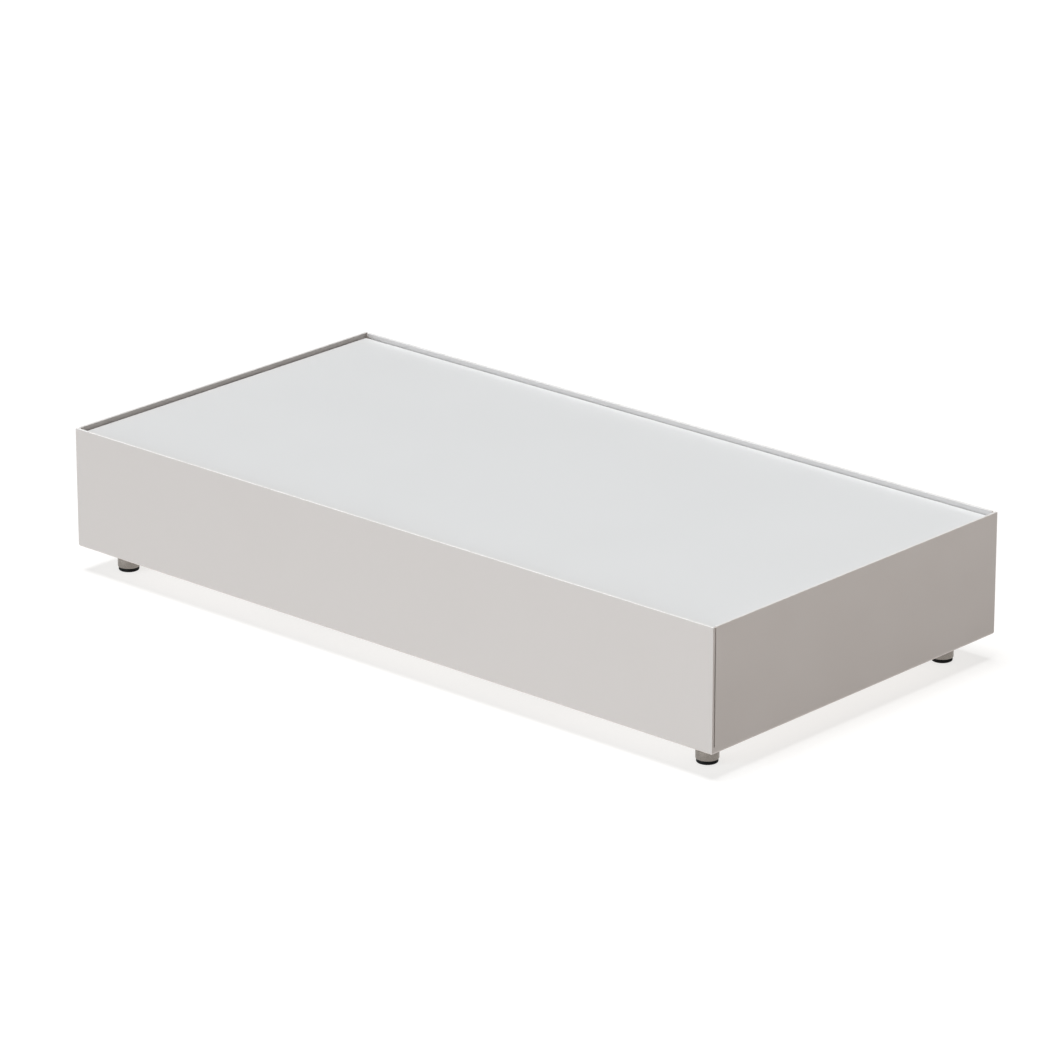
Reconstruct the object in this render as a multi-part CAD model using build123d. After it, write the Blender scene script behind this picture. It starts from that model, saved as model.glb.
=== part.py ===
from build123d import *
import os

# Light box: a low folded-steel casing on four levelling feet, with an opal panel lying in its
# open top, three fluorescent lamps under it, and a switched and fused power inlet at the rear.
#
# Millimetres. The origin is on the floor under the middle of the casing. +X runs along the long
# side to the right, +Z is up, and the front faces -Y.

# ---------------------------------------------------------------- driving dimensions

# Casing: one folded tray of steel sheet
casing_length = 664.0
casing_depth = 334.0
casing_height = 100.0
sheet = 2.0
fold_radius = 2.5
inner_fold_radius = 0.6
rim_break = 0.3
seam_gap = 1.2
seam_foot = 6.0
corner_snip = 2.0
ground_clearance = 20.0

# Ventilation slots in the base, in four banks
vent_length = 34.0
vent_width = 4.0
vent_pitch = 12.0
vents_per_bank = 9
vent_bank_x = 110.0
vent_bank_y = 116.0

# Opal panel, and the ledge rails that it lies on
panel_recess = 4.0
panel_thickness = 4.0
panel_gap = 1.0
panel_corner = 1.5
ledge_width = 12.0
ledge_sheet = 1.5
ledge_end_gap = 0.5
foam_thickness = 1.0
foam_width = 8.0

# Gear plate and its brackets
plate_margin = 15.0
plate_sheet = 1.0
bracket_inset = 45.0
bracket_flange = 18.0
bracket_sheet = 1.5
bracket_end_margin = 25.0
bracket_window_width = 24.0
bracket_window_low = 4.0
bracket_window_height = 18.0
plate_screw_y = 60.0

# Lamps: three 26 mm tubes with two-pin caps
lamp_end_room = 37.1
lamp_side_room = 62.0
lamp_above_plate = 22.0
glass_radius = 12.7
glass_wall = 0.8
cap_sheet = 0.25
cap_length = 17.0
cap_end_wall = 1.5
pin_radius = 1.175
pin_length = 7.0
pin_spacing = 12.7
pin_root = 2.0

# Lampholders and their rotors
holder_gap = 0.5
holder_side_wall = 3.2
holder_back_wall = 4.4
holder_foot_length = 10.0
holder_foot_width = 12.0
holder_foot_drop = 4.0
rotor_rim = 0.975
rotor_back = 1.2
rotor_end_gap = 0.6
pin_side_gap = 0.225
pin_end_gap = 0.8
entry_gap = 0.3

# Ballast
ballast_y = 50.0
ballast_length = 230.0
ballast_width = 40.0
ballast_height = 20.0
ballast_sheet = 0.8
ballast_ear = 15.0
cover_skirt_gap = 5.0
terminal_length = 14.0
board_thickness = 1.6
board_lift = 3.0
board_post_radius = 3.0
board_end_gap = 1.0
transformer_size = (25.0, 22.0, 11.0)
choke_size = (16.0, 16.0, 9.0)
choke_step = 44.0
capacitor_radius = 5.5
capacitor_length = 16.0
capacitor_step = 18.0
terminal_entry = 6.0

# Power inlet in the rear wall
inlet_x = 150.0
inlet_base_gap = 2.7
inlet_plate_gap = 1.7
inlet_wall = 1.2
inlet_end_wall = 4.4
inlet_body_depth = 28.0
flange_ear = 7.7
flange_lip = 2.2
flange_thickness = 2.0
flange_corner = 3.0
inlet_screw_step = 3.7
inlet_screw_radius = 1.5
inlet_screw_head = 2.9
inlet_screw_slot = 0.8
inlet_screw_tail = 4.0

# The three wells in the inlet, from the left edge of its body
well_margin = 1.8
socket_width = 16.6
socket_height = 24.2
socket_depth = 17.0
socket_corner = 4.0
well_wall = 2.0
drawer_width = 7.2
drawer_end_wall = 1.3
drawer_depth = 16.5
drawer_lip = 1.2
drawer_lip_height = 4.0
rocker_width = 11.4
rocker_half_height = 9.3
rocker_swing_gap = 1.6
rocker_well_depth = 13.0
rocker_tilt = 10.0
rocker_pivot_depth = 3.0
rocker_crown = 4.4
rocker_valley = 3.0
rocker_root = 3.0
rocker_taper = 0.8
rocker_edge = 0.6

# Contact blades in the socket
blade_thickness = 2.0
blade_width = 4.0
blade_spacing = 14.0
blade_offset = 4.0
blade_recess = 1.5
blade_tab = 6.0

# Fuse, 5 x 20 mm
fuse_radius = 2.6
fuse_length = 20.0

# Levelling feet
foot_inset = 28.0
foot_radius = 9.0
pad_inset = 0.7
pad_thickness = 3.0
pad_edge = 0.9
pad_boss_radius = 5.0
pad_boss_height = 2.0
cup_edge = 0.8
cup_shoulder = 2.0
stud_radius = 3.95
stud_journal_radius = 3.5
stud_journal_depth = 4.0
hexagon_across_flats = 13.0
hexagon_thickness = 4.0
stud_up_room = 3.2
stud_spare = 9.8
stud_chamfer = 1.0
insert_wall = 1.5
insert_length = 15.0
insert_lip = 2.5
insert_flange_thickness = 1.0

# Earth stud, beside the inlet
earth_step = 40.0
earth_wall_room = 25.0
earth_radius = 2.0
earth_length = 12.0
nut_across_flats = 7.0
nut_thickness = 3.2

# Screws, wires and clearances
screw_radius = 1.9
screw_head_radius = 3.6
screw_head_height = 2.2
wire_radius = 1.3
wire_bend = 4.0
wire_start = 5.0
wire_step = 5.0
mains_side = 9.0
mains_lead = 25.0
mains_turn = 10.0
earth_lead = 5.0
lamp_wire_lead = 8.0
clip_lead = 15.0
lamp_wire_height = 8.0
mains_wire_height = 15.0
clip_step = 35.0
clip_length = 10.0
clip_width = 12.0
clip_cap = 1.7
screw_tip = 6.0
fit = 0.05
running_gap = 0.3
hole_gap = 0.3

# ---------------------------------------------------------------- sizes worked out from them

casing_bottom = ground_clearance
base_top = casing_bottom + sheet
casing_top = casing_bottom + casing_height
half_length = casing_length / 2
half_depth = casing_depth / 2
inner_x = half_length - sheet
inner_y = half_depth - sheet
panel_bottom = casing_top - panel_recess - panel_thickness
ledge_top = panel_bottom - foam_thickness

# Inlet: its body is as tall as its tallest well, and as wide as the three wells in a row
drawer_height = fuse_length + 2 * drawer_end_wall
rocker_well_half = rocker_half_height + rocker_swing_gap
inlet_height = 2 * inlet_wall + max(
    socket_height, drawer_height + 2 * running_gap, 2 * rocker_well_half)
inlet_width = (well_margin + socket_width + well_wall + drawer_width + 2 * running_gap
               + well_wall + rocker_width + 2 * running_gap + inlet_end_wall)
inlet_z = base_top + inlet_base_gap + inlet_height / 2
inlet_face = half_depth + flange_thickness
inlet_back = half_depth - inlet_body_depth
inlet_screw_offset = inlet_width / 2 + inlet_screw_step
countersink = inlet_screw_head - inlet_screw_radius
rocker_pivot_y = inlet_face - rocker_pivot_depth

# Gear plate: it passes over the inlet and inside the ledges
plate_bottom = inlet_z + inlet_height / 2 + inlet_plate_gap
plate_top = plate_bottom + plate_sheet
plate_half_x = inner_x - plate_margin
plate_half_y = inner_y - plate_margin

# Lamps, rotors and lampholders: each takes its size from what it holds
lamp_length = casing_length - 2 * lamp_end_room
lamp_row = half_depth - lamp_side_room
lamp_rows = (-lamp_row, 0.0, lamp_row)
lamp_z = plate_top + lamp_above_plate
cap_radius = glass_radius + fit + cap_sheet
rotor_radius = pin_spacing / 2 + pin_radius + rotor_rim
rotor_slot_width = 2 * (pin_radius + pin_side_gap)
rotor_slot_depth = pin_length + pin_end_gap
rotor_length = rotor_slot_depth + rotor_back
holder_width = 2 * (rotor_radius + running_gap + holder_side_wall)
holder_bore_depth = rotor_length + rotor_end_gap
holder_entry_width = rotor_slot_width + 2 * entry_gap
holder_face = lamp_length / 2 + holder_gap
holder_back = holder_face + holder_bore_depth + holder_back_wall
holder_middle = (holder_face + holder_back) / 2
bracket_x = lamp_length / 2 - bracket_inset
clip_x = bracket_x - clip_step
ballast_top = base_top + ballast_height

# Feet: pad, cup and hexagon fill the gap under the casing, less the room to screw up
pad_radius = foot_radius - pad_inset
cup_top = (ground_clearance - insert_flange_thickness - stud_up_room
           - hexagon_thickness - running_gap)
stud_top = casing_bottom + insert_length + stud_spare
insert_bore_radius = stud_radius + fit
insert_radius = insert_bore_radius + insert_wall
insert_flange_radius = insert_radius + insert_lip
earth_x = inlet_x + earth_step
earth_y = inner_y - earth_wall_room
foot_x = half_length - foot_inset
foot_y = half_depth - foot_inset
feet = {
    "front_left": (-foot_x, -foot_y),
    "front_right": (foot_x, -foot_y),
    "rear_left": (-foot_x, foot_y),
    "rear_right": (foot_x, foot_y),
}
sides = {"left": -1, "right": 1}


# ---------------------------------------------------------------- small helpers


def block(x0, x1, y0, y1, z0, z1):
    """A box given by its limits, in either order."""
    middle = Pos((x0 + x1) / 2, (y0 + y1) / 2, (z0 + z1) / 2)
    return middle * Box(abs(x1 - x0), abs(y1 - y0), abs(z1 - z0))


def post(radius, z0, z1, x, y):
    """An upright cylinder."""
    return Pos(x, y, (z0 + z1) / 2) * Cylinder(radius, abs(z1 - z0))


def bar(radius, x0, x1, y, z):
    """A cylinder lying along X."""
    return Pos((x0 + x1) / 2, y, z) * Rot(0, 90, 0) * Cylinder(radius, abs(x1 - x0))


def peg(radius, y0, y1, x, z):
    """A cylinder lying along Y."""
    return Pos(x, (y0 + y1) / 2, z) * Rot(90, 0, 0) * Cylinder(radius, abs(y1 - y0))


def hexagon(across_flats, z0, z1, x, y):
    """An upright hexagonal prism."""
    outline = RegularPolygon(across_flats / 2, 6, major_radius=False)
    return Pos(x, y, z0) * extrude(outline, z1 - z0)


def wire(points, bend):
    """A round wire along straight runs joined by arcs of one radius."""
    route = FilletPolyline(*points, radius=bend)
    start = Plane(origin=route @ 0, z_dir=route % 0)
    return sweep(start * Circle(wire_radius), path=route)


def screw(x, y, seat, tip):
    """A pan-head screw that points down, with its head on seat."""
    head = post(screw_head_radius, seat, seat + screw_head_height, x, y)
    head = fillet(head.edges().sort_by(Axis.Z)[-1], screw_head_height / 2)
    return head + post(screw_radius, tip, seat, x, y)


def save(name, *solids):
    """Write one named piece. Identical pieces share a file as separate solids."""
    shape = solids[0] if len(solids) == 1 else Compound(children=list(solids))
    export_step(shape, f"parts/{name}.step")


# ---------------------------------------------------------------- casing, ledges and panel


def vent_slots():
    slots = []
    outline = SlotOverall(vent_length, vent_width, rotation=90)
    for bank_x in (-vent_bank_x, vent_bank_x):
        for bank_y in (-vent_bank_y, vent_bank_y):
            for i in range(vents_per_bank):
                x = bank_x + (i - (vents_per_bank - 1) / 2) * vent_pitch
                slots.append(Pos(x, bank_y, casing_bottom - 1) * extrude(outline, sheet + 2))
    return slots


def corner_seams():
    """Gaps beside the wall ends, with snipped top corners.

    The short walls tuck in behind the front one, and cover the ends of the rear one.
    """
    cuts = []
    low, high = casing_bottom + seam_foot, casing_top + 1
    front_end, rear_end = inner_y - seam_gap, inner_x - seam_gap
    for s in (-1, 1):
        cuts.append(block(s * (inner_x - 1), s * (half_length + 1), -front_end, -inner_y, low, high))
        cuts.append(block(s * rear_end, s * inner_x, inner_y - 1, half_depth + 1, low, high))
        snip = Pos(s * (inner_x + sheet / 2), -front_end, casing_top) * Rot(45, 0, 0)
        cuts.append(snip * Box(sheet + 2, corner_snip, corner_snip))
        snip = Pos(s * rear_end, inner_y + sheet / 2, casing_top) * Rot(0, 45, 0)
        cuts.append(snip * Box(corner_snip, sheet + 2, corner_snip))
    return cuts


def inlet_cutout():
    half_width = inlet_width / 2 + hole_gap
    half_height = inlet_height / 2 + hole_gap
    cuts = [
        block(inlet_x - half_width, inlet_x + half_width, inner_y - 1, half_depth + 1,
              inlet_z - half_height, inlet_z + half_height)
    ]
    for sx in (-1, 1):
        x = inlet_x + sx * inlet_screw_offset
        cuts.append(peg(inlet_screw_radius + fit, inner_y - 1, half_depth + 1, x, inlet_z))
    return cuts


def make_casing():
    outside = block(-half_length, half_length, -half_depth, half_depth, casing_bottom, casing_top)
    outside = fillet(outside.faces().sort_by(Axis.Z)[0].edges(), fold_radius)
    inside = block(-inner_x, inner_x, -inner_y, inner_y, base_top, casing_top + sheet)
    inside = fillet(inside.faces().sort_by(Axis.Z)[0].edges(), inner_fold_radius)
    tray = outside - inside
    tray = chamfer(tray.faces().sort_by(Axis.Z)[-1].edges(), rim_break)
    tray -= corner_seams() + inlet_cutout() + vent_slots()
    for x, y in feet.values():
        tray -= post(insert_radius + fit, casing_bottom - 1, base_top + 1, x, y)
    for sx in (-1, 1):
        x = sx * (ballast_length + ballast_ear) / 2
        tray -= post(screw_radius + fit, casing_bottom - 1, base_top + 1, x, ballast_y)
    return tray


def make_ledge(length, along_x, sign):
    """An angle rail, spot-welded to a wall, with its flat leg pointing inwards."""
    low = ledge_top - ledge_width
    if along_x:
        wall, inward = sign * inner_y, sign * (inner_y - ledge_width)
        leg = block(-length / 2, length / 2, wall, sign * (inner_y - ledge_sheet), low, ledge_top)
        shelf = block(-length / 2, length / 2, wall, inward, ledge_top - ledge_sheet, ledge_top)
    else:
        wall, inward = sign * inner_x, sign * (inner_x - ledge_width)
        leg = block(wall, sign * (inner_x - ledge_sheet), -length / 2, length / 2, low, ledge_top)
        shelf = block(wall, inward, -length / 2, length / 2, ledge_top - ledge_sheet, ledge_top)
    return leg + shelf


def make_foam():
    """Four strips of tape on the ledges, along the edge of the panel."""
    x_out = inner_x - panel_gap
    y_out = inner_y - panel_gap
    z0, z1 = ledge_top, panel_bottom
    strips = []
    for s in (-1, 1):
        strips.append(block(-x_out, x_out, s * y_out, s * (y_out - foam_width), z0, z1))
        end = y_out - foam_width
        strips.append(block(s * x_out, s * (x_out - foam_width), -end, end, z0, z1))
    return strips


def make_panel():
    x_out = inner_x - panel_gap
    y_out = inner_y - panel_gap
    slab = block(-x_out, x_out, -y_out, y_out, panel_bottom, panel_bottom + panel_thickness)
    slab = fillet(slab.edges().filter_by(Axis.Z), panel_corner)
    return chamfer(slab.faces().sort_by(Axis.Z)[-1].edges(), rim_break)


# ---------------------------------------------------------------- gear plate


def make_bracket(side):
    """A Z bracket across the base: foot inwards, shelf outwards, windows for the wires."""
    half = plate_half_y - bracket_end_margin
    web = side * bracket_x
    outer = side * (bracket_x + bracket_sheet)
    bracket = block(web, outer, -half, half, base_top, plate_bottom)
    bracket += block(outer, side * (bracket_x - bracket_flange), -half, half,
                     base_top, base_top + bracket_sheet)
    bracket += block(web, side * (bracket_x + bracket_flange), -half, half,
                     plate_bottom - bracket_sheet, plate_bottom)
    low = base_top + bracket_window_low
    for y in lamp_rows:
        bracket -= block(side * (bracket_x - 1), side * (bracket_x + bracket_sheet + 1),
                         y - bracket_window_width / 2, y + bracket_window_width / 2,
                         low, low + bracket_window_height)
    for x, y in plate_screw_places():
        if x * side > 0:
            bracket -= post(screw_radius + fit, plate_bottom - bracket_sheet - 1,
                            plate_bottom + 1, x, y)
    return bracket


def plate_screw_places():
    x = bracket_x + (bracket_flange + bracket_sheet) / 2
    return [(sx * x, sy * plate_screw_y) for sx in (-1, 1) for sy in (-1, 1)]


def make_gear_plate():
    plate = block(-plate_half_x, plate_half_x, -plate_half_y, plate_half_y, plate_bottom, plate_top)
    half_x = holder_foot_length / 2 + hole_gap
    half_y = holder_foot_width / 2 + hole_gap
    for side in sides.values():
        for y in lamp_rows:
            plate -= block(side * (holder_middle - half_x), side * (holder_middle + half_x),
                           y - half_y, y + half_y, plate_bottom - 1, plate_top + 1)
    for x, y in plate_screw_places():
        plate -= post(screw_radius + hole_gap, plate_bottom - 1, plate_top + 1, x, y)
    return plate


# ---------------------------------------------------------------- lamps and lampholders


def make_lampholder(side, y):
    face, back = side * holder_face, side * holder_back
    bottom = side * (holder_face + holder_bore_depth)
    mouth = side * (holder_face - 1)
    half = holder_width / 2
    holder = block(face, back, y - half, y + half, plate_top, lamp_z)
    holder += bar(half, face, back, y, lamp_z)
    foot_in, foot_out = holder_middle - holder_foot_length / 2, holder_middle + holder_foot_length / 2
    holder += block(side * foot_in, side * foot_out, y - holder_foot_width / 2,
                    y + holder_foot_width / 2, plate_bottom - holder_foot_drop, plate_top)
    holder -= bar(rotor_radius + running_gap, mouth, bottom, y, lamp_z)
    holder -= block(mouth, bottom, y - holder_entry_width / 2, y + holder_entry_width / 2,
                    lamp_z, lamp_z + holder_width)
    return holder


def make_rotor(side, y):
    """The turning disc that the pins lock into. Its slot lies level when the lamp is locked."""
    rotor = bar(rotor_radius, side * holder_face, side * (holder_face + rotor_length), y, lamp_z)
    return rotor - block(side * (holder_face - 1), side * (holder_face + rotor_slot_depth),
                         y - holder_width, y + holder_width,
                         lamp_z - rotor_slot_width / 2, lamp_z + rotor_slot_width / 2)


def make_glass(y):
    half = lamp_length / 2 - cap_end_wall - holder_gap
    return bar(glass_radius, -half, half, y, lamp_z) - bar(
        glass_radius - glass_wall, -half - 1, half + 1, y, lamp_z)


def make_cap(side, y):
    end = lamp_length / 2
    cap = bar(cap_radius, side * (end - cap_length), side * end, y, lamp_z)
    cap -= bar(glass_radius + fit, side * (end - cap_length - 1), side * (end - cap_end_wall), y, lamp_z)
    for s in (-1, 1):
        cap -= bar(pin_radius + fit, side * (end - cap_length), side * (end + 1),
                   y + s * pin_spacing / 2, lamp_z)
    return cap


def make_pins(side, y):
    end = lamp_length / 2
    return [
        bar(pin_radius, side * (end - cap_end_wall - pin_root), side * (end + pin_length),
            y + s * pin_spacing / 2, lamp_z)
        for s in (-1, 1)
    ]


# ---------------------------------------------------------------- ballast


def ballast_screw_places():
    x = (ballast_length + ballast_ear) / 2
    return [(-x, ballast_y), (x, ballast_y)]


def make_ballast_case():
    half_x = ballast_length / 2
    half_y = ballast_width / 2
    case = block(-half_x - ballast_ear, half_x + ballast_ear, ballast_y - half_y, ballast_y + half_y,
                 base_top, base_top + ballast_sheet)
    for s in (-1, 1):
        case += block(-half_x, half_x, ballast_y + s * half_y, ballast_y + s * (half_y - ballast_sheet),
                      base_top, ballast_top)
    for x, y in ballast_screw_places():
        case -= post(screw_radius + fit, base_top - 1, base_top + ballast_sheet + 1, x, y)
    return case


def make_ballast_cover():
    half_x = ballast_length / 2 - terminal_length - fit
    half_y = ballast_width / 2 + fit + ballast_sheet
    cover = block(-half_x, half_x, ballast_y - half_y, ballast_y + half_y,
                  ballast_top + fit, ballast_top + fit + ballast_sheet)
    for s in (-1, 1):
        cover += block(-half_x, half_x, ballast_y + s * half_y, ballast_y + s * (half_y - ballast_sheet),
                       base_top + cover_skirt_gap, ballast_top + fit)
        inside = ballast_width / 2 - ballast_sheet - fit
        cover += block(s * half_x, s * (half_x - ballast_sheet), ballast_y - inside, ballast_y + inside,
                       base_top + ballast_sheet + board_lift + board_thickness + fit, ballast_top + fit)
    return cover


def make_ballast_board():
    """The circuit board on two posts, with a transformer, a choke and two capacitors."""
    z0 = base_top + ballast_sheet + board_lift
    z1 = z0 + board_thickness
    half_x = ballast_length / 2 - terminal_length - board_end_gap
    half_y = ballast_width / 2 - ballast_sheet - board_end_gap
    board = block(-half_x, half_x, ballast_y - half_y, ballast_y + half_y, z0, z1)
    for s in (-1, 1):
        x = s * (half_x - 3 * board_post_radius)
        board += post(board_post_radius, base_top + ballast_sheet, z0, x, ballast_y)
        x = s * capacitor_step / 2 - choke_step
        y = ballast_y + s * capacitor_radius
        board += bar(capacitor_radius, x - capacitor_length / 2, x + capacitor_length / 2,
                     y, z1 + capacitor_radius - fit)
    for x, (length, width, height) in ((0, transformer_size), (choke_step, choke_size)):
        board += block(x - length / 2, x + length / 2, ballast_y - width / 2, ballast_y + width / 2,
                       z1, z1 + height)
    return board


def make_terminal(side):
    """A terminal block across one end of the ballast, with a row of wire entries."""
    end = side * ballast_length / 2
    inner = side * (ballast_length / 2 - terminal_length)
    half = ballast_width / 2 - ballast_sheet - fit
    terminal = block(inner, end, ballast_y - half, ballast_y + half,
                     base_top + ballast_sheet, ballast_top)
    places = lamp_wire_places(side) + (mains_wire_places() if side > 0 else [])
    for y, z in places:
        terminal -= bar(wire_radius + fit, side * (ballast_length / 2 - terminal_entry),
                        end + side, y, z)
    return terminal


def lamp_wire_places(side):
    """Y, Z of the lamp wires at one end: the right end leaves room for the mains wires."""
    shift = -mains_side if side > 0 else 0.0
    return [(ballast_y + shift + wire_step * k, base_top + lamp_wire_height) for k in (-1, 0, 1)]


def mains_wire_places():
    return [(ballast_y + mains_side - s * wire_step / 2, base_top + mains_wire_height) for s in (1, -1)]


# ---------------------------------------------------------------- power inlet


def wells():
    """Middle X of the socket, the fuse drawer and the rocker."""
    left = inlet_x - inlet_width / 2 + well_margin
    socket = left + socket_width / 2
    drawer = left + socket_width + well_wall + running_gap + drawer_width / 2
    rocker = drawer + drawer_width / 2 + 2 * running_gap + well_wall + rocker_width / 2
    return socket, drawer, rocker


def blade_places():
    """Live, earth and neutral blades: X, Z of each middle."""
    x = wells()[0] - blade_offset / 2
    return {
        "live": (x, inlet_z + blade_spacing / 2),
        "earth": (x + blade_offset, inlet_z),
        "neutral": (x, inlet_z - blade_spacing / 2),
    }


def socket_outline():
    """A rectangle with its two corners beside the earth blade cut off."""
    w, h, c = socket_width / 2, socket_height / 2, socket_corner
    return make_face(Polyline((-w, -h), (w - c, -h), (w, -h + c), (w, h - c), (w - c, h), (-w, h),
                              close=True))


def make_inlet_body():
    socket_x, drawer_x, rocker_x = wells()
    wide, tall = inlet_width / 2 + flange_ear, inlet_height / 2 + flange_lip
    flange = block(inlet_x - wide, inlet_x + wide, half_depth, inlet_face, inlet_z - tall, inlet_z + tall)
    flange = fillet(flange.edges().filter_by(Axis.Y), flange_corner)
    flange = fillet(flange.faces().sort_by(Axis.Y)[-1].edges(), flange_thickness / 4)
    body = flange + block(inlet_x - inlet_width / 2, inlet_x + inlet_width / 2, inlet_back, half_depth,
                          inlet_z - inlet_height / 2, inlet_z + inlet_height / 2)
    mouth = Plane(origin=(socket_x, inlet_face + 1, inlet_z), x_dir=(1, 0, 0), z_dir=(0, -1, 0))
    body -= extrude(mouth * socket_outline(), socket_depth + 1)
    half = drawer_width / 2 + running_gap
    body -= block(drawer_x - half, drawer_x + half, inlet_face - drawer_depth - running_gap, inlet_face + 1,
                  inlet_z - drawer_height / 2 - running_gap, inlet_z + drawer_height / 2 + running_gap)
    half = rocker_width / 2 + running_gap
    body -= block(rocker_x - half, rocker_x + half, inlet_face - rocker_well_depth, inlet_face + 1,
                  inlet_z - rocker_well_half, inlet_z + rocker_well_half)
    for x, z in blade_places().values():
        body -= block(x - blade_width / 2 - fit, x + blade_width / 2 + fit, inlet_back - 1, inlet_face,
                      z - blade_thickness / 2 - fit, z + blade_thickness / 2 + fit)
    for s in (-1, 1):
        x = inlet_x + s * inlet_screw_offset
        body -= peg(inlet_screw_radius + fit, half_depth - 1, inlet_face + 1, x, inlet_z)
        body -= screw_cone(x, fit)
    return body


def screw_cone(x, gap):
    """The countersunk shape of an inlet screw's head, larger by gap."""
    return Pos(x, inlet_face - countersink / 2, inlet_z) * Rot(90, 0, 0) * Cone(
        inlet_screw_head + gap, inlet_screw_radius + gap, countersink)


def make_blade(x, z):
    return block(x - blade_width / 2, x + blade_width / 2, inlet_back - blade_tab,
                 inlet_face - blade_recess, z - blade_thickness / 2, z + blade_thickness / 2)


def make_inlet_screw(side):
    x = inlet_x + side * inlet_screw_offset
    slot = block(x - inlet_screw_head, x + inlet_screw_head, inlet_face - inlet_screw_slot / 2,
                 inlet_face + 1, inlet_z - inlet_screw_slot / 2, inlet_z + inlet_screw_slot / 2)
    shank = peg(inlet_screw_radius, inner_y - inlet_screw_tail, inlet_face - countersink, x, inlet_z)
    return screw_cone(x, 0) + shank - slot


def make_fuse_drawer():
    """A sliding tray with a finger lip; the fuse lies upright in its side channel."""
    x = wells()[1]
    half, tall = drawer_width / 2, drawer_height / 2
    drawer = block(x - half, x + half, inlet_face - drawer_depth, inlet_face, inlet_z - tall, inlet_z + tall)
    lip = block(x - half, x + half, inlet_face, inlet_face + drawer_lip,
                inlet_z + tall - drawer_lip_height, inlet_z + tall)
    drawer += fillet(lip.edges().filter_by(Axis.X).sort_by(Axis.Y)[-2:], drawer_lip / 3)
    y = inlet_face - drawer_depth / 2
    channel = post(fuse_radius + fit, inlet_z - fuse_length / 2 - fit, inlet_z + fuse_length / 2 + fit, x, y)
    channel += block(x, x + half + 1, y - fuse_radius - fit, y + fuse_radius + fit,
                     inlet_z - fuse_length / 2 - fit, inlet_z + fuse_length / 2 + fit)
    return drawer - channel


def make_fuse():
    return post(fuse_radius, inlet_z - fuse_length / 2, inlet_z + fuse_length / 2,
                wells()[1], inlet_face - drawer_depth / 2)


def make_rocker():
    """A rocker with two hollowed halves, tilted to its off side."""
    tip, root = rocker_half_height, rocker_half_height - rocker_taper
    outline = make_face(Polyline((-rocker_root, -root), (rocker_crown, -tip), (rocker_valley, 0),
                                 (rocker_crown, tip), (-rocker_root, root), close=True))
    rocker_x = wells()[2]
    start = Plane(origin=(rocker_x - rocker_width / 2, rocker_pivot_y, inlet_z),
                  x_dir=(0, 1, 0), z_dir=(1, 0, 0))
    solid = extrude(start * outline, rocker_width)
    solid = fillet(solid.edges().filter_by(Axis.X).group_by(Axis.Y)[-1], rocker_edge)
    pivot = Axis((rocker_x, rocker_pivot_y, inlet_z), (1, 0, 0))
    return solid.rotate(pivot, -rocker_tilt)


# ---------------------------------------------------------------- feet


def make_pad(x, y):
    pad = post(pad_radius, 0, pad_thickness, x, y)
    pad = fillet(pad.edges().sort_by(Axis.Z)[0], pad_edge)
    return pad + post(pad_boss_radius, pad_thickness, pad_thickness + pad_boss_height, x, y)


def make_cup(x, y):
    cup = post(foot_radius, pad_thickness, cup_top, x, y)
    cup = chamfer(cup.edges().sort_by(Axis.Z)[-1], cup_shoulder / 2, cup_shoulder)
    cup = fillet(cup.edges().sort_by(Axis.Z)[0], cup_edge)
    cup -= post(pad_boss_radius + fit, pad_thickness - 1, pad_thickness + pad_boss_height + fit, x, y)
    return cup - post(stud_journal_radius + running_gap, cup_top - stud_journal_depth, cup_top + 1, x, y)


def make_stud(x, y):
    """The threaded stud, its hexagon and the journal that turns in the cup."""
    hex_bottom = cup_top + running_gap
    hex_top = hex_bottom + hexagon_thickness
    stud = hexagon(hexagon_across_flats, hex_bottom, hex_top, x, y)
    stud += post(stud_journal_radius, cup_top - stud_journal_depth + running_gap, hex_bottom, x, y)
    shank = post(stud_radius, hex_top, stud_top, x, y)
    return stud + chamfer(shank.edges().sort_by(Axis.Z)[-1], stud_chamfer)


def make_insert(x, y):
    insert = post(insert_flange_radius, casing_bottom - insert_flange_thickness, casing_bottom, x, y)
    insert += post(insert_radius, casing_bottom, casing_bottom + insert_length, x, y)
    return insert - post(insert_bore_radius, 0, casing_bottom + insert_length + 1, x, y)


# ---------------------------------------------------------------- earth stud, wires and clips


def make_earth_nut():
    """The nut that clamps the bared end of the earth wire against the base."""
    z0 = base_top + 2 * wire_radius + fit
    nut = hexagon(nut_across_flats, z0, z0 + nut_thickness, earth_x, earth_y)
    return nut - post(earth_radius + fit, base_top, z0 + nut_thickness + 1, earth_x, earth_y)


def make_mains_wires():
    """Live and neutral, from the blades' tabs to the right end of the ballast, side by side."""
    wires = []
    back = inlet_back - blade_tab
    end = ballast_length / 2 - wire_start
    for index, (name, (y, z)) in enumerate(zip(("live", "neutral"), mains_wire_places())):
        x, blade_z = blade_places()[name]
        turn_x = x - wire_step * index
        wires.append(wire([(x, back, blade_z), (x, back - mains_lead, blade_z), (turn_x, y + mains_turn, z),
                           (turn_x - mains_turn, y, z), (end, y, z)], wire_bend))
    return wires


def make_earth_wire():
    """From the earth blade's tab down to the base, and behind the bracket to the earth stud."""
    x, z = blade_places()["earth"]
    back = inlet_back - blade_tab
    run = back - earth_lead
    low = base_top + wire_radius
    return wire([(x, back, z), (x, run, z), (x + z - low, run, low), (earth_x, run, low),
                 (earth_x, earth_y - earth_radius - fit, low)], wire_bend)


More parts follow.
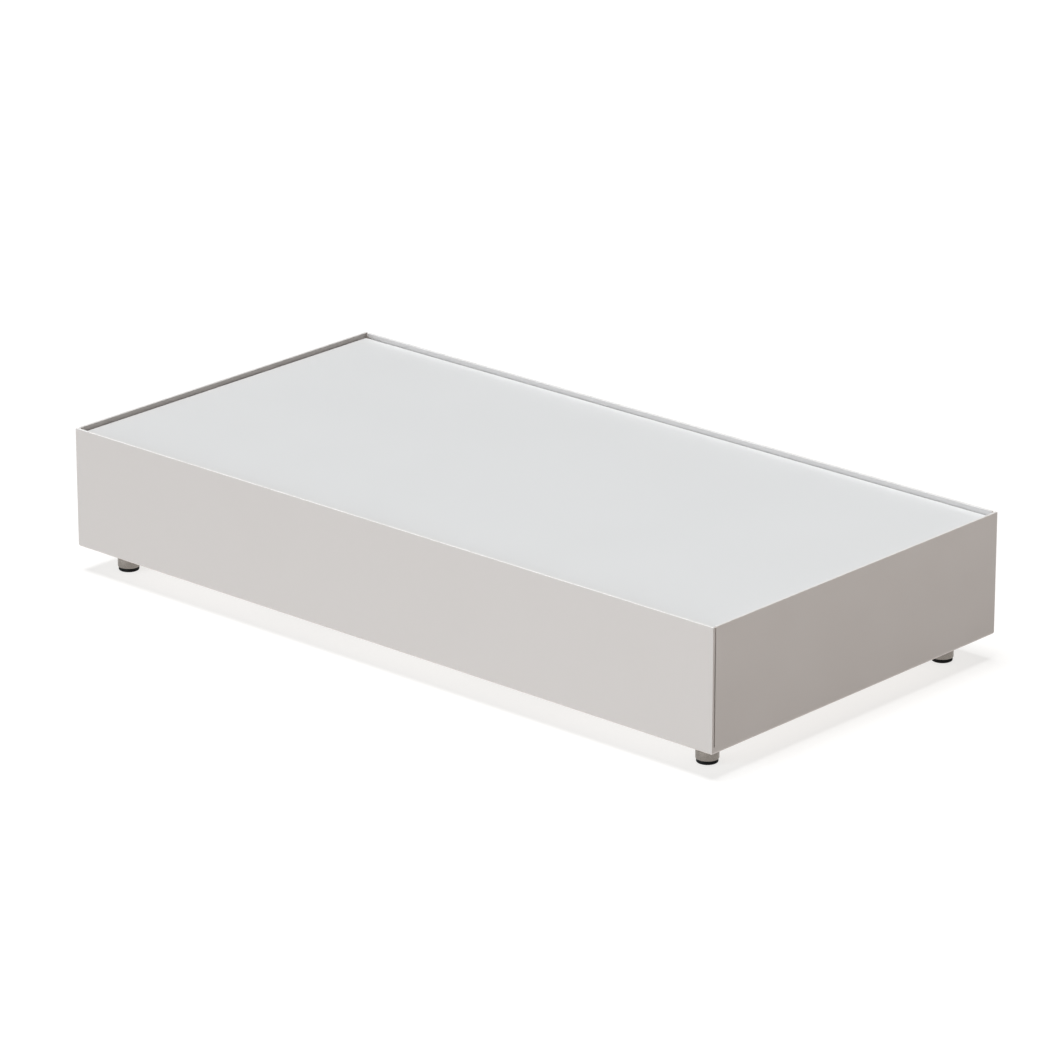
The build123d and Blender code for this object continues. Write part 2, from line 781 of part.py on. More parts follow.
def make_lamp_wires():
    """From each end of the ballast, out to its clip, and up to the foot of its lampholder."""
    wires = []
    for side in sides.values():
        for row, (y, z) in zip(lamp_rows, lamp_wire_places(side)):
            end = ballast_length / 2
            wires.append(wire([(side * (end - wire_start), y, z), (side * (end + lamp_wire_lead), y, z),
                               (side * (clip_x - clip_lead), row, z), (side * holder_middle, row, z),
                               (side * holder_middle, row, plate_bottom - holder_foot_drop)],
                              wire_bend))
    return wires


def make_clips():
    """Saddle clips on the base, one round each lamp wire."""
    clips = []
    z = base_top + lamp_wire_height
    for side in sides.values():
        for row in lamp_rows:
            x0, x1 = side * (clip_x - clip_length / 2), side * (clip_x + clip_length / 2)
            clip = block(x0, x1, row - clip_width / 2, row + clip_width / 2,
                         base_top, z + wire_radius + clip_cap)
            clips.append(clip - bar(wire_radius + running_gap, x0 - side, x1 + side, row, z))
    return clips


# ---------------------------------------------------------------- write every piece

os.makedirs("parts", exist_ok=True)

save("casing", make_casing())
save("ledge_front", make_ledge(2 * inner_x - 2 * ledge_end_gap, True, -1))
save("ledge_rear", make_ledge(2 * inner_x - 2 * ledge_end_gap, True, 1))
save("ledge_left", make_ledge(2 * (inner_y - ledge_width - ledge_end_gap), False, -1))
save("ledge_right", make_ledge(2 * (inner_y - ledge_width - ledge_end_gap), False, 1))
save("foam_tape", *make_foam())
save("diffuser_panel", make_panel())

save("gear_plate", make_gear_plate())
save("plate_screws", *[screw(x, y, plate_top, plate_bottom - screw_tip) for x, y in plate_screw_places()])
for side_name, side in sides.items():
    save(f"plate_bracket_{side_name}", make_bracket(side))
    for number, row in enumerate(lamp_rows, 1):
        save(f"lampholder_{side_name}_{number}", make_lampholder(side, row))
for number, row in enumerate(lamp_rows, 1):
    save(f"lamp_glass_{number}", make_glass(row))
    save(f"lamp_caps_{number}", make_cap(-1, row), make_cap(1, row))
    save(f"lamp_pins_{number}", *make_pins(-1, row), *make_pins(1, row))
    save(f"lamp_rotors_{number}", make_rotor(-1, row), make_rotor(1, row))

save("ballast_case", make_ballast_case())
save("ballast_cover", make_ballast_cover())
save("ballast_board", make_ballast_board())
save("ballast_terminals", make_terminal(-1), make_terminal(1))
save("ballast_screws", *[screw(x, y, base_top + ballast_sheet, casing_bottom)
                         for x, y in ballast_screw_places()])

save("inlet_body", make_inlet_body())
save("inlet_blades", *[make_blade(x, z) for x, z in blade_places().values()])
save("inlet_screws", make_inlet_screw(-1), make_inlet_screw(1))
save("fuse_drawer", make_fuse_drawer())
save("fuse", make_fuse())
save("power_rocker", make_rocker())

save("earth_stud", post(earth_radius, base_top, base_top + earth_length, earth_x, earth_y))
save("earth_nut", make_earth_nut())
save("mains_wires", *make_mains_wires())
save("earth_wire", make_earth_wire())
save("lamp_wires", *make_lamp_wires())
save("wire_clips", *make_clips())

save("foot_inserts", *[make_insert(x, y) for x, y in feet.values()])
for place, (x, y) in feet.items():
    save(f"foot_pad_{place}", make_pad(x, y))
    save(f"foot_cup_{place}", make_cup(x, y))
    save(f"foot_stud_{place}", make_stud(x, y))
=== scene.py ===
# %% [markdown]
# # A light box, dressed in Blender
#
# The real thing is a tracing box: a folded sheet-steel tray with a sheet of opal acrylic
# lying in its open top, standing on four screw feet. Inside are three fluorescent lamps.
# The engineering model already holds every piece at its true size. This notebook gives the
# pieces their finishes, and makes the fine shapes that an engineering model leaves out.
#
# The first cell loads that model as a fixed frame. We never move or reshape it.

from math import cos, pi, radians, sin

import bpy
from mathutils import Matrix, Vector


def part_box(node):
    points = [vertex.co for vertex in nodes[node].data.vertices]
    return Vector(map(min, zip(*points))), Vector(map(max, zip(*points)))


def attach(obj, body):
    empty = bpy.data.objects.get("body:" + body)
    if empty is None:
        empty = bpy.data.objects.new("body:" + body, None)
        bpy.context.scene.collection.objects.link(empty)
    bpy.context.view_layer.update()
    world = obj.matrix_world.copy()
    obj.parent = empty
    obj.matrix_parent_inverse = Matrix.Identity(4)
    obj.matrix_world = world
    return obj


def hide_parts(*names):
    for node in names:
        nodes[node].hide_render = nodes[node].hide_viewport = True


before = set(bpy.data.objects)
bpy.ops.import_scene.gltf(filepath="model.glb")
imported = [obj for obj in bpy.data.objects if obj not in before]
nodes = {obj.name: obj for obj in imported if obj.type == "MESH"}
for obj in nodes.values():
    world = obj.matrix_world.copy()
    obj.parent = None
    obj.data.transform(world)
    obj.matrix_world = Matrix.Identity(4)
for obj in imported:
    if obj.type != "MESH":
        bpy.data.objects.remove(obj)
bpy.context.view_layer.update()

# %% [markdown]
# ## Units and places
#
# Blender works in metres here. Makers of sheet metal think in millimetres, so one name, `mm`,
# turns one into the other. Where the added pieces stand is read from the frame, so that most
# changes of the engineering model carry through.

# %% Units and the places that later cells share
mm = 0.001
casing_low, casing_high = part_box("casing")
foot_places = ("front_left", "front_right", "rear_left", "rear_right")
lamp_numbers = (1, 2, 3)
print("casing", [round(v / mm) for v in (casing_high - casing_low)], "mm")

# %% [markdown]
# ## Camera
#
# The box is seen over its front right corner, from about twenty degrees above. A long lens
# from far away keeps its long edges nearly parallel, which is how products are shown.

# %% Camera
view_azimuth = radians(42.06)
view_elevation = radians(19.92)
view_distance = 4.56
view_target = Vector((-0.0095, 0.0145, 0.063))
lens_length = 197.4

back = Vector((sin(view_azimuth) * cos(view_elevation),
               -cos(view_azimuth) * cos(view_elevation),
               sin(view_elevation)))
camera = bpy.data.objects.new("camera", bpy.data.cameras.new("camera"))
camera.data.lens = lens_length
camera.location = view_target + back * view_distance
camera.rotation_euler = (-back).to_track_quat("-Z", "Y").to_euler()
bpy.context.scene.collection.objects.link(camera)
bpy.context.scene.camera = camera
print("camera at", [round(v, 2) for v in camera.location])

# %% [markdown]
# ## Floor and light
#
# The box stands on a lit table: a white sheet that glows softly from below, so hardly any
# shadow is left under the box. A broad light overhead makes the panel bright. A key light
# stands low in front, a little to the left, and brightens the long front wall. The short
# right wall gets little but what the table throws up. The table glows more strongly from a
# hand's breadth beyond that wall. The top of the wall sees more of that glow than its foot
# does, so the wall fades very gently downwards.

# %% Lit table
def look_up(material):
    """The one shader of a material, whose sockets set its finish."""
    return material.node_tree.nodes["Principled BSDF"]


near_glow, far_glow = 0.74, 0.91
glow_start, glow_full = 90 * mm, 170 * mm

table = bpy.data.materials.new("lit_table")
table.use_nodes = True
links, shader = table.node_tree.links, look_up(table)
shader.inputs["Base Color"].default_value = (0.29, 0.29, 0.29, 1)
shader.inputs["Roughness"].default_value = 0.9
shader.inputs["Specular IOR Level"].default_value = 0
shader.inputs["Emission Color"].default_value = (1.0, 0.99, 0.975, 1)
place_on_table = table.node_tree.nodes.new("ShaderNodeSeparateXYZ")
point = table.node_tree.nodes.new("ShaderNodeTexCoord").outputs["Object"]
glow = table.node_tree.nodes.new("ShaderNodeMapRange")
glow.interpolation_type = "SMOOTHSTEP"
for name, value in (("From Min", casing_high.x + glow_start), ("From Max", casing_high.x + glow_full),
                    ("To Min", near_glow), ("To Max", far_glow)):
    glow.inputs[name].default_value = value
links.new(point, place_on_table.inputs[0])
links.new(place_on_table.outputs["X"], glow.inputs["Value"])
links.new(glow.outputs["Result"], shader.inputs["Emission Strength"])
bpy.ops.mesh.primitive_plane_add(size=60)
floor = bpy.context.object
floor.name = "floor"
floor.data.materials.append(table)

# %% Lights
def towards(azimuth, elevation):
    """The direction of a light. Azimuth 0 is in front and 90 is at the right."""
    a, e = radians(azimuth), radians(elevation)
    return Vector((sin(a) * cos(e), -cos(a) * cos(e), sin(e)))


def add_lamp(name, kind, direction, strength, colour):
    data = bpy.data.lights.new(name, kind)
    data.energy, data.color = strength, colour
    lamp = bpy.data.objects.new(name, data)
    lamp.rotation_euler = direction.to_track_quat("Z", "Y").to_euler()
    bpy.context.scene.collection.objects.link(lamp)
    return lamp


overhead = add_lamp("overhead", "SUN", towards(-40, 86), 3.2, (1, 1, 1))
overhead.data.angle = radians(24)
key = add_lamp("key", "SUN", towards(-26, 9), 2.06, (0.93, 1.07, 1.18))
key.data.angle = radians(40)

world = bpy.data.worlds.new("studio")
world.use_nodes = True
world.node_tree.nodes["Background"].inputs["Color"].default_value = (1.0, 0.97, 0.94, 1)
world.node_tree.nodes["Background"].inputs["Strength"].default_value = 0.03
bpy.context.scene.world = world
bpy.context.scene.view_settings.view_transform = "Standard"
print("a lit table, two lamps and a faint sky")

# %% [markdown]
# ## How a finish is made
#
# Real surfaces are never one flat colour. Three helpers cover most of it. `cloud` gives soft
# random patches of a chosen size, `tint` mixes a second colour in by such a pattern, and
# `press` turns patterns into fine relief. All patterns are measured in millimetres on the
# piece itself, so they stay put when the piece moves.

# %% Helpers for finishes
def start_finish(name, colour, roughness, metallic=0.0):
    material = bpy.data.materials.new(name)
    material.use_nodes = True
    bsdf = look_up(material)
    bsdf.inputs["Base Color"].default_value = (*colour, 1)
    bsdf.inputs["Roughness"].default_value = roughness
    bsdf.inputs["Metallic"].default_value = metallic
    return material


def wire_up(tree, node, inputs):
    """Fills a node's sockets: a socket is linked, and anything else is set as a value."""
    for name, value in inputs.items():
        socket = node.inputs[name]
        if isinstance(value, bpy.types.NodeSocket):
            tree.links.new(value, socket)
        elif value is not None:
            socket.default_value = value
    return node


def add(tree, kind, inputs={}, **settings):
    node = tree.nodes.new(kind)
    for name, value in settings.items():
        setattr(node, name, value)
    return wire_up(tree, node, inputs)


def maths(tree, operation, *values):
    node = add(tree, "ShaderNodeMath", operation=operation)
    return wire_up(tree, node, dict(enumerate(values))).outputs[0]


def place(tree, stretch=(1, 1, 1)):
    """The point on the piece, in millimetres, squeezed along each axis by stretch."""
    point = add(tree, "ShaderNodeTexCoord").outputs["Object"]
    scale = [s / mm for s in stretch]
    return add(tree, "ShaderNodeMapping", {"Vector": point, "Scale": scale}).outputs["Vector"]


def cloud(tree, size, stretch=(1, 1, 1), detail=2.0):
    """Random patches of about size millimetres, from 0 to 1."""
    return add(tree, "ShaderNodeTexNoise", {"Vector": place(tree, stretch), "Scale": 1 / size,
                                            "Detail": detail}).outputs["Fac"]


def remap(tree, value, low, high, to_low, to_high):
    """Stretches low..high to to_low..to_high, smoothly and clamped."""
    node = add(tree, "ShaderNodeMapRange", interpolation_type="SMOOTHSTEP")
    return wire_up(tree, node, {"Value": value, "From Min": low, "From Max": high,
                                "To Min": to_low, "To Max": to_high}).outputs["Result"]


def tint(material, colour, amount):
    """Mixes a second colour over what the base colour has so far."""
    tree = material.node_tree
    socket = look_up(material).inputs["Base Color"]
    before = socket.links[0].from_socket if socket.links else tuple(socket.default_value)
    mix = add(tree, "ShaderNodeMix", data_type="RGBA")
    for index, value in ((0, amount), (6, before), (7, (*colour, 1))):
        if isinstance(value, bpy.types.NodeSocket):
            tree.links.new(value, mix.inputs[index])
        else:
            mix.inputs[index].default_value = value
    tree.links.new(mix.outputs[2], socket)


def polish(material, amount, low, high):
    """Lets the roughness wander between low and high."""
    tree = material.node_tree
    tree.links.new(remap(tree, amount, 0.3, 0.7, low, high), look_up(material).inputs["Roughness"])


def press(material, height, depth):
    """Presses a pattern into the surface, depth millimetres deep."""
    tree = material.node_tree
    normal = look_up(material).inputs["Normal"]
    below = normal.links[0].from_socket if normal.links else None
    bump = add(tree, "ShaderNodeBump", {"Height": height, "Distance": depth * mm, "Normal": below})
    tree.links.new(bump.outputs["Normal"], normal)


def dress(material, *names):
    """Gives engineering pieces a finish."""
    for name in names:
        nodes[name].data.materials.clear()
        nodes[name].data.materials.append(material)


# %% [markdown]
# ## Casing: powder coat
#
# The tray is sprayed with dry powder and baked. It melts into a satin skin with a very fine
# orange peel, about a millimetre across and a few hundredths deep. The top of the rim is
# painted a little lighter: a painted highlight, where the rim faces the overhead light. The
# inside of the tray is a slightly lighter tone, right up to the rim. Outside, the walls are
# all one colour but for very faint patches: that one wall looks darker than another comes
# from the light.

# %% Powder coat
powder_coat = start_finish("powder_coat", (0.565, 0.510, 0.475), 0.42)
tree = powder_coat.node_tree
place_on_piece = add(tree, "ShaderNodeSeparateXYZ", {"Vector": place(tree)}).outputs
height_on_piece = place_on_piece["Z"]
rim = casing_high.z / mm
tint(powder_coat, (0.52, 0.465, 0.43), remap(tree, cloud(tree, 90, detail=4), 0.45, 0.75, 0, 0.10))
half_base, wall_skin = 1, 1.7
inside = maths(tree, "GREATER_THAN", height_on_piece, casing_low.z / mm + half_base)
for axis, outside in (("X", casing_high.x), ("Y", casing_high.y)):
    from_middle = maths(tree, "ABSOLUTE", place_on_piece[axis])
    inside = maths(tree, "MULTIPLY", inside, maths(tree, "LESS_THAN", from_middle, outside / mm - wall_skin))
tint(powder_coat, (0.66, 0.61, 0.58), inside)
# Painted highlight: the top half millimetre of the rim is painted lighter, where it faces the overhead
# light.
tint(powder_coat, (0.83, 0.81, 0.79), remap(tree, height_on_piece, rim - 0.5, rim - 0.1, 0, 0.9))
polish(powder_coat, cloud(tree, 40), 0.38, 0.48)
press(powder_coat, cloud(tree, 1.1), 0.02)
press(powder_coat, cloud(tree, 0.25, detail=1), 0.004)
look_up(powder_coat).inputs["Coat Weight"].default_value = 0.15
look_up(powder_coat).inputs["Coat Roughness"].default_value = 0.3
dress(powder_coat, "casing")
print("powder coat on the casing")

# %% [markdown]
# ## Panel: opal acrylic
#
# Opal acrylic is clear plastic filled with white pigment. Light goes a few millimetres into
# it before it comes back, which softens its edges. Its top is satin, so that it doesn't glare,
# and years of pencils and rulers leave hair-fine scratches in every direction.

# %% Opal acrylic
opal = start_finish("opal_acrylic", (0.735, 0.735, 0.732), 0.34)
tree = opal.node_tree
opal_bsdf = look_up(opal)
opal_bsdf.inputs["Subsurface Weight"].default_value = 0.25
opal_bsdf.inputs["Subsurface Radius"].default_value = (1.0, 1.0, 1.0)
opal_bsdf.inputs["Subsurface Scale"].default_value = 2.5 * mm
opal_bsdf.inputs["IOR"].default_value = 1.49
tint(opal, (0.70, 0.695, 0.685), remap(tree, cloud(tree, 160, detail=3), 0.4, 0.8, 0, 0.15))
polish(opal, cloud(tree, 120), 0.33, 0.36)
press(opal, remap(tree, cloud(tree, 0.3, (0.015, 1, 1), detail=1), 0.62, 0.70, 0, 1), 0.002)
press(opal, remap(tree, cloud(tree, 0.4, (1, 0.02, 1), detail=1), 0.64, 0.72, 0, 1), 0.002)
press(opal, cloud(tree, 0.4, detail=1), 0.003)
dress(opal, "diffuser_panel")
print("opal acrylic on the panel")

# %% [markdown]
# ## Feet: turned metal and rubber
#
# A foot's cup is turned on a lathe, which leaves rings round its axis. A ring pattern needs the
# height on the piece alone on a cup's side, so a cloud squeezed flat along X and Y does it.
# The pad is moulded rubber, nearly black, with a dull dusty bloom.

# %% Turned metal and rubber
turned = start_finish("turned_metal", (0.285, 0.26, 0.238), 0.26, metallic=1.0)
tree = turned.node_tree
tint(turned, (0.20, 0.185, 0.17), remap(tree, cloud(tree, 5, detail=3), 0.5, 0.8, 0, 0.5))
polish(turned, cloud(tree, 2), 0.20, 0.32)
press(turned, cloud(tree, 0.25, (0.02, 0.02, 1), detail=1), 0.012)
rubber = start_finish("rubber", (0.003, 0.003, 0.0032), 0.75)
look_up(rubber).inputs["Specular IOR Level"].default_value = 0.2
tree = rubber.node_tree
tint(rubber, (0.02, 0.019, 0.018), remap(tree, cloud(tree, 3, detail=4), 0.55, 0.8, 0, 0.5))
press(rubber, cloud(tree, 0.35), 0.02)
dress(turned, *[f"foot_cup_{p}" for p in foot_places])
dress(rubber, *[f"foot_pad_{p}" for p in foot_places])
print("turned metal and rubber on the feet")

# %% [markdown]
# ## Plated steel
#
# Screws, studs, brackets and the ballast's case are zinc plated: bright, a little blue, and
# crystallised in faint patches. A crystal pattern comes from Voronoi cells, each of which
# gets its own shade.

# %% Zinc plate
def zinc(name, colour, crystal):
    material = start_finish(name, colour, 0.36, metallic=1.0)
    tree = material.node_tree
    cells = add(tree, "ShaderNodeTexVoronoi", {"Vector": place(tree), "Scale": 1 / crystal})
    shade = add(tree, "ShaderNodeSeparateColor", {"Color": cells.outputs["Color"]}).outputs["Red"]
    tint(material, tuple(0.78 * c for c in colour), maths(tree, "MULTIPLY", shade, 0.6))
    polish(material, cloud(tree, crystal), 0.30, 0.46)
    press(material, cloud(tree, 0.3, detail=1), 0.005)
    return material


bright_zinc = zinc("bright_zinc", (0.63, 0.64, 0.66), 1.2)
sheet_zinc = zinc("sheet_zinc", (0.60, 0.61, 0.62), 7.0)
dress(bright_zinc, "foot_inserts", "inlet_screws", "earth_stud", "earth_nut")
dress(sheet_zinc, "plate_bracket_left", "plate_bracket_right", "ballast_case", "ballast_cover")

# %% [markdown]
# ## White pieces inside
#
# The gear plate, the ledges and the foam tape are matt white, since the lamps shine on them.
# The lampholders are white moulded plastic with a slight gloss.

# %% White paint, foam and white plastic
sheet_white = start_finish("sheet_white", (0.84, 0.84, 0.83), 0.62)
tree = sheet_white.node_tree
tint(sheet_white, (0.76, 0.75, 0.72), remap(tree, cloud(tree, 60, detail=4), 0.45, 0.8, 0, 0.4))
press(sheet_white, cloud(tree, 0.9), 0.02)
foam = start_finish("foam", (0.80, 0.80, 0.78), 0.95)
tree = foam.node_tree
pores = add(tree, "ShaderNodeTexVoronoi", {"Vector": place(tree), "Scale": 1 / 0.5})
# The pores are painted darker as well as pressed in: painted shade in the pits of a foam that is white all
# through.
tint(foam, (0.55, 0.55, 0.53), remap(tree, pores.outputs["Distance"], 0.05, 0.3, 0.8, 0))
press(foam, pores.outputs["Distance"], 0.12)
white_plastic = start_finish("white_plastic", (0.82, 0.815, 0.79), 0.32)
tree = white_plastic.node_tree
tint(white_plastic, (0.76, 0.74, 0.66), remap(tree, cloud(tree, 12, detail=3), 0.5, 0.8, 0, 0.5))
press(white_plastic, cloud(tree, 0.5), 0.01)
dress(sheet_white, "gear_plate", "ledge_front", "ledge_rear", "ledge_left", "ledge_right")
dress(foam, "foam_tape")
dress(white_plastic, "ballast_terminals", "wire_clips",
      *[f"lampholder_{side}_{n}" for side in ("left", "right") for n in lamp_numbers],
      *[f"lamp_rotors_{n}" for n in lamp_numbers])

# %% [markdown]
# ## Lamps
#
# A fluorescent tube is clear glass with white powder inside, so it looks white under a glossy
# skin. A clear coat over a rough white does that. Near its ends a used tube is smoked grey,
# where the cathodes have burnt. The caps are rolled aluminium and the pins are brass.

# %% Tube glass, cap metal and brass
tube_glass = start_finish("tube_glass", (0.84, 0.85, 0.85), 0.55)
tree = tube_glass.node_tree
along = add(tree, "ShaderNodeSeparateXYZ", {"Vector": place(tree)}).outputs["X"]
cap_cover, smoked_length = 16, 14
cap_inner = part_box("lamp_glass_1")[1].x / mm - cap_cover
from_end = maths(tree, "SUBTRACT", cap_inner, maths(tree, "ABSOLUTE", along))
tint(tube_glass, (0.30, 0.29, 0.28), remap(tree, from_end, 0, smoked_length, 0.55, 0))
press(tube_glass, cloud(tree, 6), 0.01)
look_up(tube_glass).inputs["Coat Weight"].default_value = 1.0
look_up(tube_glass).inputs["Coat Roughness"].default_value = 0.04
cap_metal = start_finish("cap_metal", (0.70, 0.71, 0.72), 0.34, metallic=1.0)
tree = cap_metal.node_tree
tint(cap_metal, (0.55, 0.55, 0.55), remap(tree, cloud(tree, 4, detail=3), 0.5, 0.75, 0, 0.6))
press(cap_metal, cloud(tree, 0.2, (1, 0.03, 0.03), detail=1), 0.008)
brass = start_finish("brass", (0.72, 0.60, 0.34), 0.3, metallic=1.0)
tree = brass.node_tree
tint(brass, (0.50, 0.38, 0.20), remap(tree, cloud(tree, 2, detail=4), 0.5, 0.8, 0, 0.6))
press(brass, cloud(tree, 0.2, (0.05, 1, 1), detail=1), 0.005)
for number in lamp_numbers:
    dress(tube_glass, f"lamp_glass_{number}")
    dress(cap_metal, f"lamp_caps_{number}")
    dress(brass, f"lamp_pins_{number}")
dress(brass, "inlet_blades")
print("lamps dressed")

# %% [markdown]
# ## Inlet, board and wires
#
# The inlet is black nylon with the fine sparkle of a spark-eroded mould, and its rocker is
# smoother. The board is green lacquered laminate. Wires are plasticised sheath, white for
# the supply and the lamps, and green with a yellow stripe for the earth.

# %% Black nylon, board, fuse and wire sheaths
def moulded(name, colour, roughness, grain):
    material = start_finish(name, colour, roughness)
    tree = material.node_tree
    lighter = tuple(2.2 * c + 0.01 for c in colour)
    tint(material, lighter, remap(tree, cloud(tree, 9, detail=3), 0.5, 0.8, 0, 0.35))
    press(material, cloud(tree, grain, detail=1), 0.02)
    return material


nylon = moulded("black_nylon", (0.022, 0.022, 0.024), 0.5, 0.25)
rocker_black = moulded("rocker_black", (0.018, 0.018, 0.019), 0.24, 0.8)
board_green = moulded("board_green", (0.035, 0.11, 0.04), 0.4, 1.5)
sheath = start_finish("wire_sheath", (0.78, 0.78, 0.76), 0.42)
tree = sheath.node_tree
press(sheath, cloud(tree, 1.5), 0.03)
tint(sheath, (0.66, 0.65, 0.61), remap(tree, cloud(tree, 14), 0.45, 0.7, 0, 0.5))
earth_sheath = start_finish("earth_sheath", (0.10, 0.30, 0.05), 0.42)
tree = earth_sheath.node_tree
height_on_piece = add(tree, "ShaderNodeSeparateXYZ", {"Vector": place(tree)}).outputs["Z"]
band = maths(tree, "FRACT", maths(tree, "MULTIPLY", height_on_piece, 0.35))
tint(earth_sheath, (0.70, 0.62, 0.06), remap(tree, band, 0.60, 0.64, 0, 1))
fuse_glass = start_finish("fuse_glass", (0.80, 0.84, 0.84), 0.05)
look_up(fuse_glass).inputs["Transmission Weight"].default_value = 0.6
tree = fuse_glass.node_tree
fuse_low, fuse_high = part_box("fuse")
fuse_middle = (fuse_low.z + fuse_high.z) / 2 / mm
half_window = 5.0
height_on_piece = add(tree, "ShaderNodeSeparateXYZ", {"Vector": place(tree)}).outputs["Z"]
from_middle = maths(tree, "ABSOLUTE", maths(tree, "SUBTRACT", height_on_piece, fuse_middle))
end_cap = remap(tree, from_middle, half_window, half_window + 0.1, 0, 1)
tint(fuse_glass, (0.60, 0.60, 0.62), end_cap)
dress(nylon, "inlet_body", "fuse_drawer")
dress(rocker_black, "power_rocker")
dress(board_green, "ballast_board")
dress(sheath, "mains_wires", "lamp_wires")
dress(earth_sheath, "earth_wire")
dress(fuse_glass, "fuse")
print("inlet, board and wires dressed")

# %% [markdown]
# ## Growing pieces with Geometry Nodes
#
# Threads, screw heads, weld marks and grip ribs all follow a rule, so a small node tree makes
# each of them, with its sizes as named inputs. `new_tree` starts such a tree. `grow` runs it on
# a few points, and turns the result into a plain mesh with no modifier left on it.

# %% Helpers for Geometry Nodes
SOCKETS = {"length": "NodeSocketFloat", "count": "NodeSocketInt"}


def new_tree(name, lengths=(), counts=()):
    """A tree that takes points, named sizes and a finish. Returns the tree and its inputs."""
    tree = bpy.data.node_groups.new(name, "GeometryNodeTree")
    sockets = tree.interface
    sockets.new_socket("Geometry", in_out="OUTPUT", socket_type="NodeSocketGeometry")
    sockets.new_socket("Points", in_out="INPUT", socket_type="NodeSocketGeometry")
    for kind, names in (("length", lengths), ("count", counts)):
        for socket_name in names:
            sockets.new_socket(socket_name, in_out="INPUT", socket_type=SOCKETS[kind])
    sockets.new_socket("Finish", in_out="INPUT", socket_type="NodeSocketMaterial")
    return tree, add(tree, "NodeGroupInput").outputs


def finish_tree(tree, geometry, finish):
    """Every tree ends the same way: real geometry, with its finish on."""
    real = add(tree, "GeometryNodeRealizeInstances", {"Geometry": geometry}).outputs[0]
    painted = add(tree, "GeometryNodeSetMaterial", {"Geometry": real, "Material": finish}).outputs[0]
    wire_up(tree, add(tree, "NodeGroupOutput"), {"Geometry": painted})


def grow(name, tree, points, finish, **sizes):
    seeds = bpy.data.meshes.new(name + "_seeds")
    seeds.from_pydata([tuple(p) for p in points], [], [])
    holder = bpy.data.objects.new(name + "_seeds", seeds)
    bpy.context.scene.collection.objects.link(holder)
    modifier = holder.modifiers.new("grow", "NODES")
    modifier.node_group = tree
    values = {key.replace("_", " ").capitalize(): value for key, value in sizes.items()}
    values["Finish"] = finish
    for item in tree.interface.items_tree:
        if item.in_out == "INPUT" and item.name in values:
            modifier[item.identifier] = values[item.name]
    bpy.context.view_layer.update()
    grown = holder.evaluated_get(bpy.context.evaluated_depsgraph_get())
    piece = bpy.data.objects.new(name, bpy.data.meshes.new_from_object(grown))
    bpy.context.scene.collection.objects.link(piece)
    bpy.data.objects.remove(holder)
    print(name, len(piece.data.polygons), "faces")
    return piece


def around(tree, radius, turn, height):
    """A point at a radius from Z, a part of a turn round it, and a height."""
    angle = maths(tree, "MULTIPLY", turn, 2 * pi)
    x = maths(tree, "MULTIPLY", radius, maths(tree, "COSINE", angle))
    y = maths(tree, "MULTIPLY", radius, maths(tree, "SINE", angle))
    return add(tree, "ShaderNodeCombineXYZ", {"X": x, "Y": y, "Z": height}).outputs[0]


def unit_grid(tree, across, along):
    """A grid mesh, with its own place on it as two numbers from 0 to 1."""
    grid = add(tree, "GeometryNodeMeshGrid", {"Size X": 1.0, "Size Y": 1.0,
                                              "Vertices X": across, "Vertices Y": along})
    place_on = add(tree, "ShaderNodeSeparateXYZ",
                   {"Vector": add(tree, "GeometryNodeInputPosition").outputs[0]}).outputs
    return grid.outputs["Mesh"], maths(tree, "ADD", place_on[0], 0.5), maths(tree, "ADD", place_on[1], 0.5)


def rod(tree, sides, radius, length):
    """A closed rod along Z, with its middle at the origin."""
    return add(tree, "GeometryNodeMeshCylinder",
               {"Vertices": sides, "Radius": radius, "Depth": length}).outputs["Mesh"]


def flattened(tree, height, radius):
    """A scale that squashes a round thing of this radius to this height."""
    return add(tree, "ShaderNodeCombineXYZ",
               {"X": 1.0, "Y": 1.0, "Z": maths(tree, "DIVIDE", height, radius)}).outputs[0]


def put(tree, geometry, move=None, turn=None):
    values = {"Geometry": geometry, "Translation": move, "Rotation": turn}
    return add(tree, "GeometryNodeTransform", values).outputs[0]


def join(tree, *parts):
    node = add(tree, "GeometryNodeJoinGeometry")
    for part in reversed(parts):
        tree.links.new(part, node.inputs[0])
    return node.outputs[0]


def on_points(tree, points, part):
    return add(tree, "GeometryNodeInstanceOnPoints", {"Points": points, "Instance": part}).outputs[0]


# %% [markdown]
# ## Foot screws
#
# Each foot hangs on an M8 screw with a hexagon to turn it by. A thread is one ramp wound round
# a rod. So a flat grid is rolled into a tube, and its radius goes up and down with the height,
# shifted by the part of a turn: that shift makes the grooves climb. The first and last rows
# have no radius, which closes the ends.

